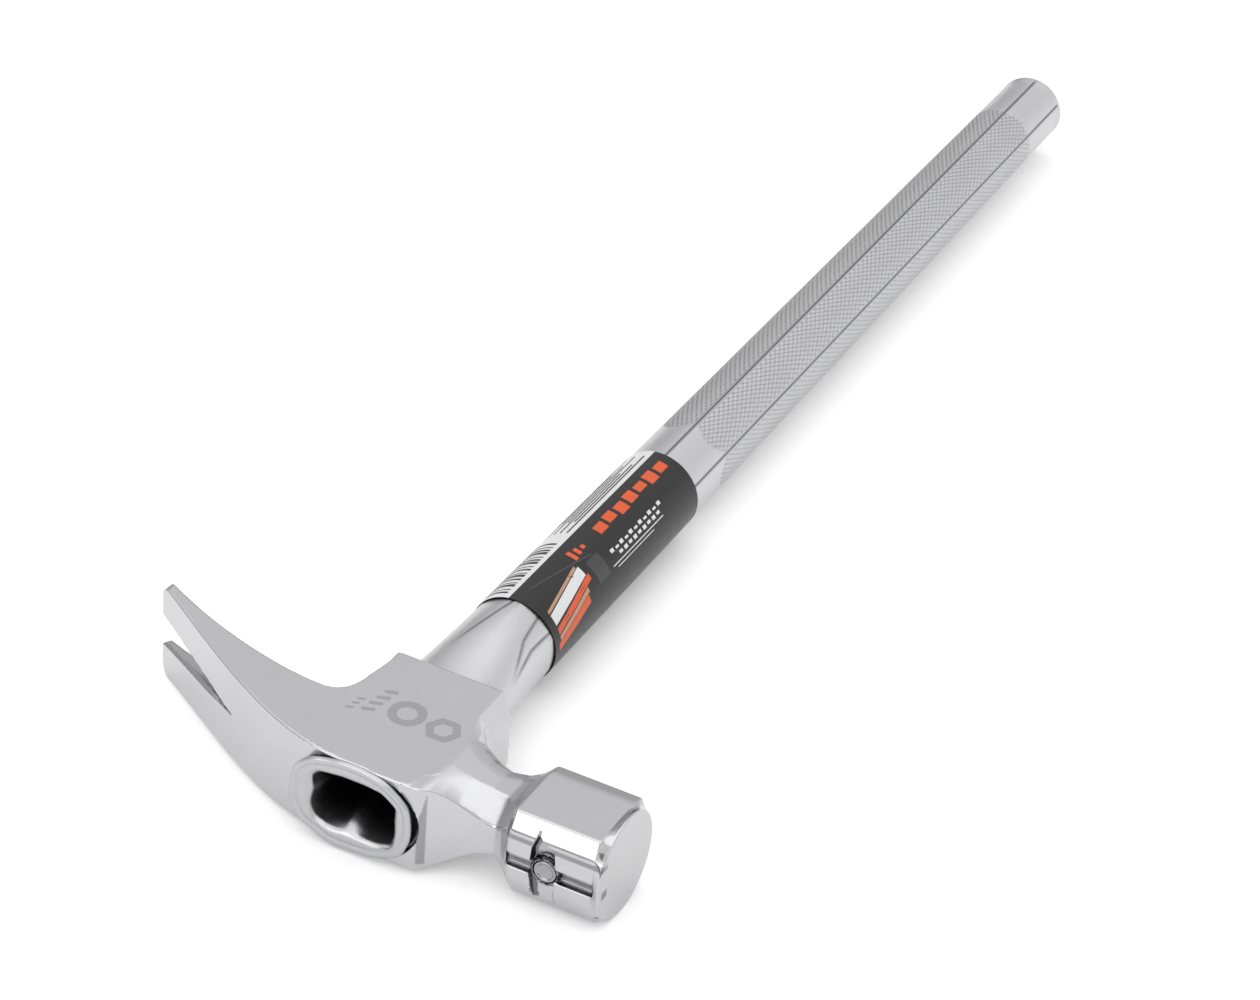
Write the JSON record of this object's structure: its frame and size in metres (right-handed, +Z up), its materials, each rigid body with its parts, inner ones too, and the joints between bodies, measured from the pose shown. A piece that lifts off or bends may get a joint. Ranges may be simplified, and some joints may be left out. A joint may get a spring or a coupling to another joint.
{
  "type": "claw hammer",
  "caption": "Straight-claw hammer with a forged head, a tubular steel handle with a knurled grip, and a magnetic nail starter.",
  "frame": {"origin": "centre of the bounding box's base: the surface that the hammer lies on when it rests on its side", "axes": "+X towards the striking face, +Y along the handle towards the butt, +Z up, out of the upper cheek"},
  "size_m": [0.1426, 0.4154, 0.0278],
  "materials": {
    "head_steel": "ground and polished forging, satin cheeks and bright bevels",
    "handle_steel": "satin plated tube with a knurled grip",
    "magnet": "plated disc, slightly worn",
    "plug": "plain moulded plug",
    "label": "glossy printed film"
  },
  "bodies": {
    "root": {"head": "head_steel", "handle_tube": "handle_steel", "nail_magnet": "magnet", "end_plug": "plug", "wrap_label": "label"}
  },
  "joints": []
}
